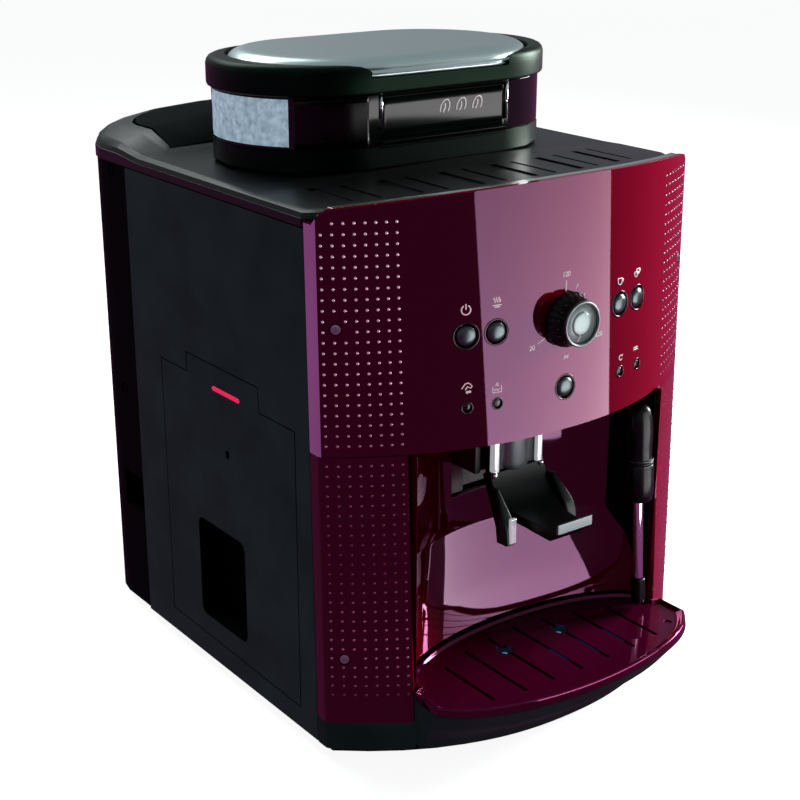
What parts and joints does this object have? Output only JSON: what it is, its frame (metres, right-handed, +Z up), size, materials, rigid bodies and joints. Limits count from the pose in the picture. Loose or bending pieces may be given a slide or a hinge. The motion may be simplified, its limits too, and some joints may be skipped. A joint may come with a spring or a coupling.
{
  "type": "espresso machine",
  "caption": "Bean-to-cup espresso machine with bean hopper, height-adjustable spout, steam wand, drip tray, side grounds drawer and rear water tank.",
  "frame": {"origin": "middle of the footprint, on the table", "axes": "+Z up, front of the machine faces -Y, +X is the right side seen from the front"},
  "size_m": [0.245, 0.3262, 0.345],
  "materials": {
    "satin_black": "satin moulded plastic",
    "gloss_black": "gloss",
    "gloss_red": "deep gloss red",
    "inner_plastic": "matte",
    "grey_plastic": "light grey matte",
    "smoked_plastic": "smoked, glossy",
    "satin_metal": "satin",
    "chrome": "mirror plated",
    "steel": "machined",
    "cast_alloy": "cast",
    "brass": "turned",
    "rubber": "matte",
    "circuit_board": "green board",
    "float_blue": "blue",
    "signal_red": "signal red",
    "tank_plastic": "translucent grey"
  },
  "bodies": {
    "housing": {"base_pan": "satin_black", "front_left_foot": "rubber", "front_right_foot": "rubber", "rear_left_foot": "rubber", "rear_right_foot": "rubber", "left_side_panel": "satin_black", "right_side_panel": "satin_black", "rear_cover": "satin_black", "cord_gland": "rubber", "top_deck": "satin_black", "deck_trim": "satin_metal", "control_panel": "gloss_red", "left_column": "gloss_red", "right_column": "gloss_red", "bay_liner": "gloss_red", "steam_pocket": "gloss_black", "upper_left_screw": "steel", "lower_left_screw": "steel", "upper_right_screw": "steel", "lower_right_screw": "steel", "light_guide": "smoked_plastic", "control_board": "circuit_board", "hopper_base": "satin_black", "hopper_window": "smoked_plastic", "grinder_housing": "cast_alloy", "grinder_motor": "steel", "outlet_guide": "inner_plastic", "outlet_plate": "grey_plastic", "tank_dock": "inner_plastic", "tank_bay_wall": "inner_plastic", "brew_frame": "inner_plastic", "thermoblock": "cast_alloy", "water_pump": "steel"},
    "hopper_lid": {"hopper_lid": "satin_black", "lid_plate": "satin_metal"},
    "dial": {"dial_knob": "satin_black", "dial_ring": "satin_metal", "dial_cap": "chrome"},
    "spout": {"spout_carriage": "gloss_black", "spout_rails": "chrome", "spout_grip": "satin_metal"},
    "steam_wand": {"steam_arm": "gloss_black", "steam_tube": "chrome", "steam_tip": "satin_black"},
    "tray": {"drip_tray": "satin_black"},
    "plate": {"drip_plate": "gloss_red"},
    "float": {"tray_float": "float_blue"},
    "drawer": {"drawer_door": "satin_black", "drawer_marker": "signal_red", "grounds_bin": "inner_plastic"},
    "tank": {"water_tank": "tank_plastic"},
    "tank_cover": {"tank_lid": "satin_black"},
    "grind_setting": {"grind_dial": "inner_plastic"},
    "burr": {"lower_burr": "steel"},
    "piston": {"brew_piston": "brass"},
    "power_button": {"power_button": "chrome"},
    "steam_button": {"steam_button": "chrome"},
    "one_cup_button": {"one_cup_button": "chrome"},
    "two_cup_button": {"two_cup_button": "chrome"},
    "program_button": {"program_button": "chrome"}
  },
  "joints": [
    {"name": "hopper_lid_lift", "type": "slide", "parent": "housing", "child": "hopper_lid", "axis": [0, 0, 1], "range_m": [0, 0.08]},
    {"name": "dial_turn", "type": "hinge", "parent": "housing", "child": "dial", "pos_m": [0, -0.12146, 0.2255], "axis": [0, -1, 0], "range_deg": [-135, 135]},
    {"name": "spout_height", "type": "slide", "parent": "housing", "child": "spout", "axis": [0, 0, 1], "range_m": [-0.035, 0.008]},
    {"name": "steam_wand_swing", "type": "hinge", "parent": "housing", "child": "steam_wand", "pos_m": [0.0722, -0.1062, 0.15], "axis": [-1, 0, 0], "range_deg": [0, 20]},
    {"name": "tray_pull", "type": "slide", "parent": "housing", "child": "tray", "axis": [0, -1, 0], "range_m": [0, 0.1]},
    {"name": "plate_lift_off", "type": "slide", "parent": "tray", "child": "plate", "axis": [0, -1, 0], "range_m": [0, 0.09]},
    {"name": "float_rise", "type": "slide", "parent": "tray", "child": "float", "axis": [0, 0, 1], "range_m": [0, 0.004]},
    {"name": "drawer_pull", "type": "slide", "parent": "housing", "child": "drawer", "axis": [-1, 0, 0], "range_m": [0, 0.1]},
    {"name": "tank_lift", "type": "slide", "parent": "housing", "child": "tank", "axis": [0, 0, 1], "range_m": [0, 0.25]},
    {"name": "tank_cover_lift", "type": "slide", "parent": "tank", "child": "tank_cover", "axis": [0, 0, 1], "range_m": [0, 0.06]},
    {"name": "grind_setting_turn", "type": "hinge", "parent": "housing", "child": "grind_setting", "pos_m": [0.055, 0.0353, 0.29], "axis": [0, 0, 1], "range_deg": [-60, 60]},
    {"name": "burr_spin", "type": "hinge", "parent": "housing", "child": "burr", "pos_m": [0, 0.0353, 0.229], "axis": [0, 0, 1], "continuous": true},
    {"name": "piston_press", "type": "slide", "parent": "housing", "child": "piston", "axis": [0, 0, -1], "range_m": [0, 0.035]},
    {"name": "power_button_press", "type": "slide", "parent": "housing", "child": "power_button", "axis": [0.2651, 0.9642, 0], "range_m": [0, 0.0012], "stiffness_N_per_m": 600},
    {"name": "steam_button_press", "type": "slide", "parent": "housing", "child": "steam_button", "axis": [0.1795, 0.9838, 0], "range_m": [0, 0.0012], "stiffness_N_per_m": 600},
    {"name": "one_cup_button_press", "type": "slide", "parent": "housing", "child": "one_cup_button", "axis": [-0.1795, 0.9838, 0], "range_m": [0, 0.0012], "stiffness_N_per_m": 600},
    {"name": "two_cup_button_press", "type": "slide", "parent": "housing", "child": "two_cup_button", "axis": [-0.2651, 0.9642, 0], "range_m": [0, 0.0012], "stiffness_N_per_m": 600},
    {"name": "program_button_press", "type": "slide", "parent": "housing", "child": "program_button", "axis": [0, 1, 0], "range_m": [0, 0.0012], "stiffness_N_per_m": 600}
  ]
}
